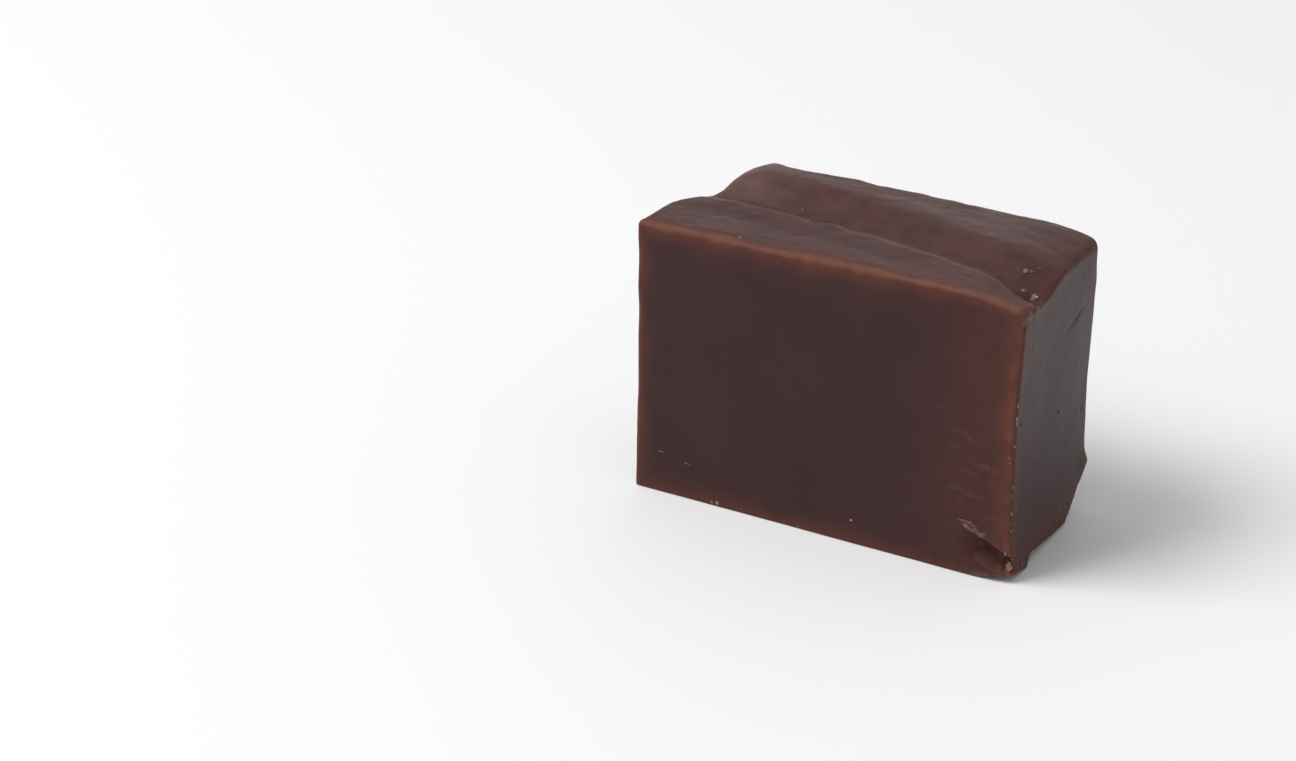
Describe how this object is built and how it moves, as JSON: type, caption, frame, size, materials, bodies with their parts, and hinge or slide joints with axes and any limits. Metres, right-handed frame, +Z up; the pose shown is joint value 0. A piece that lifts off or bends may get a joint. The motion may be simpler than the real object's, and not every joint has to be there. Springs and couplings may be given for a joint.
{
  "type": "chocolate fudge piece",
  "caption": "Bite-size rectangular block of dark chocolate fudge with knife-cut sides, a poured, stepped top and broken lower corners.",
  "frame": {"origin": "middle of the piece's box at the height of its base", "axes": "+X along the piece's length, +Y from the broad front to the back, +Z up through the poured top"},
  "size_m": [0.0326, 0.0152, 0.0243],
  "materials": {
    "fudge": "Smooth, waxy dark chocolate fudge with a faint soft gloss, redder and lighter where the edges are thin"
  },
  "bodies": {
    "root": {"fudge_piece": "fudge"}
  },
  "joints": []
}
